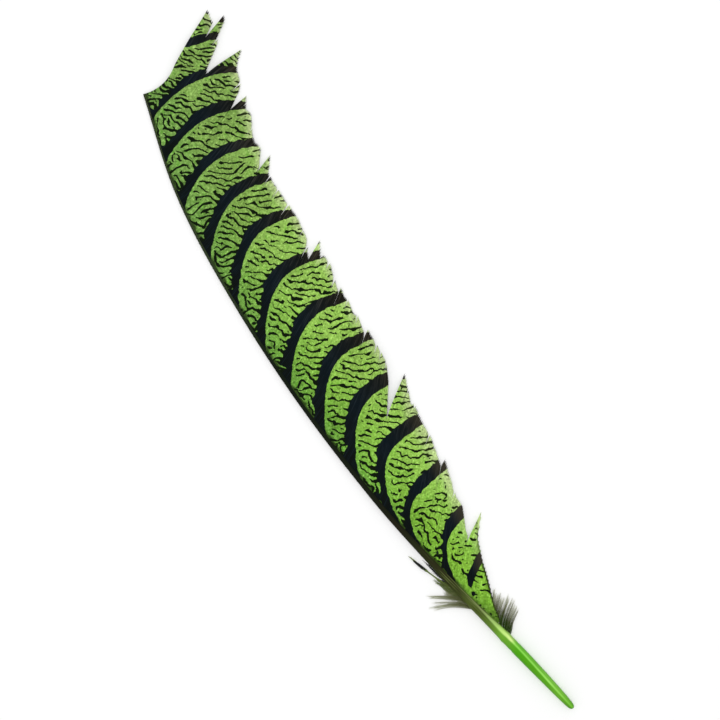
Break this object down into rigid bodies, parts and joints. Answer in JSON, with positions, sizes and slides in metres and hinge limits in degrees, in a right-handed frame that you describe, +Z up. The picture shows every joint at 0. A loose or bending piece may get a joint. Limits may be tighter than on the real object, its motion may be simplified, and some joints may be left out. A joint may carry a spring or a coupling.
{
  "type": "pheasant tail feather",
  "caption": "Long bowed pheasant side tail feather, dyed green with black bars: tapering shaft, one broad vane parted into locks, stripped narrow side, tufts of down.",
  "frame": {"origin": "under the middle of the feather's box, on the surface it lies on", "axes": "+X from the quill to the tip, +Y to the stripped side, +Z up, out of the feather's upper face"},
  "size_m": [0.4061, 0.0857, 0.0054],
  "materials": {
    "shaft_keratin": "glossy horn, lime green at the quill, olive to black-brown along the rachis",
    "barred_vane": "hooked barbs, lime green with blue-black bars and fine wavy lines, soft silky sheen",
    "remnant_barbs": "loose barbs, olive and black, matt",
    "grey_down": "loose down, grey and olive, matt and wispy"
  },
  "bodies": {
    "root": {"shaft": "shaft_keratin", "vane_lock_01": "barred_vane", "vane_lock_02": "barred_vane", "vane_lock_03": "barred_vane", "vane_lock_04": "barred_vane", "vane_lock_05": "barred_vane", "vane_lock_06": "barred_vane", "vane_lock_07": "barred_vane", "vane_lock_08": "barred_vane", "vane_lock_09": "barred_vane", "vane_lock_10": "barred_vane", "vane_lock_11": "barred_vane", "narrow_vane_remnant": "remnant_barbs", "down_narrow_side": "grey_down", "down_broad_side": "grey_down"}
  },
  "joints": []
}
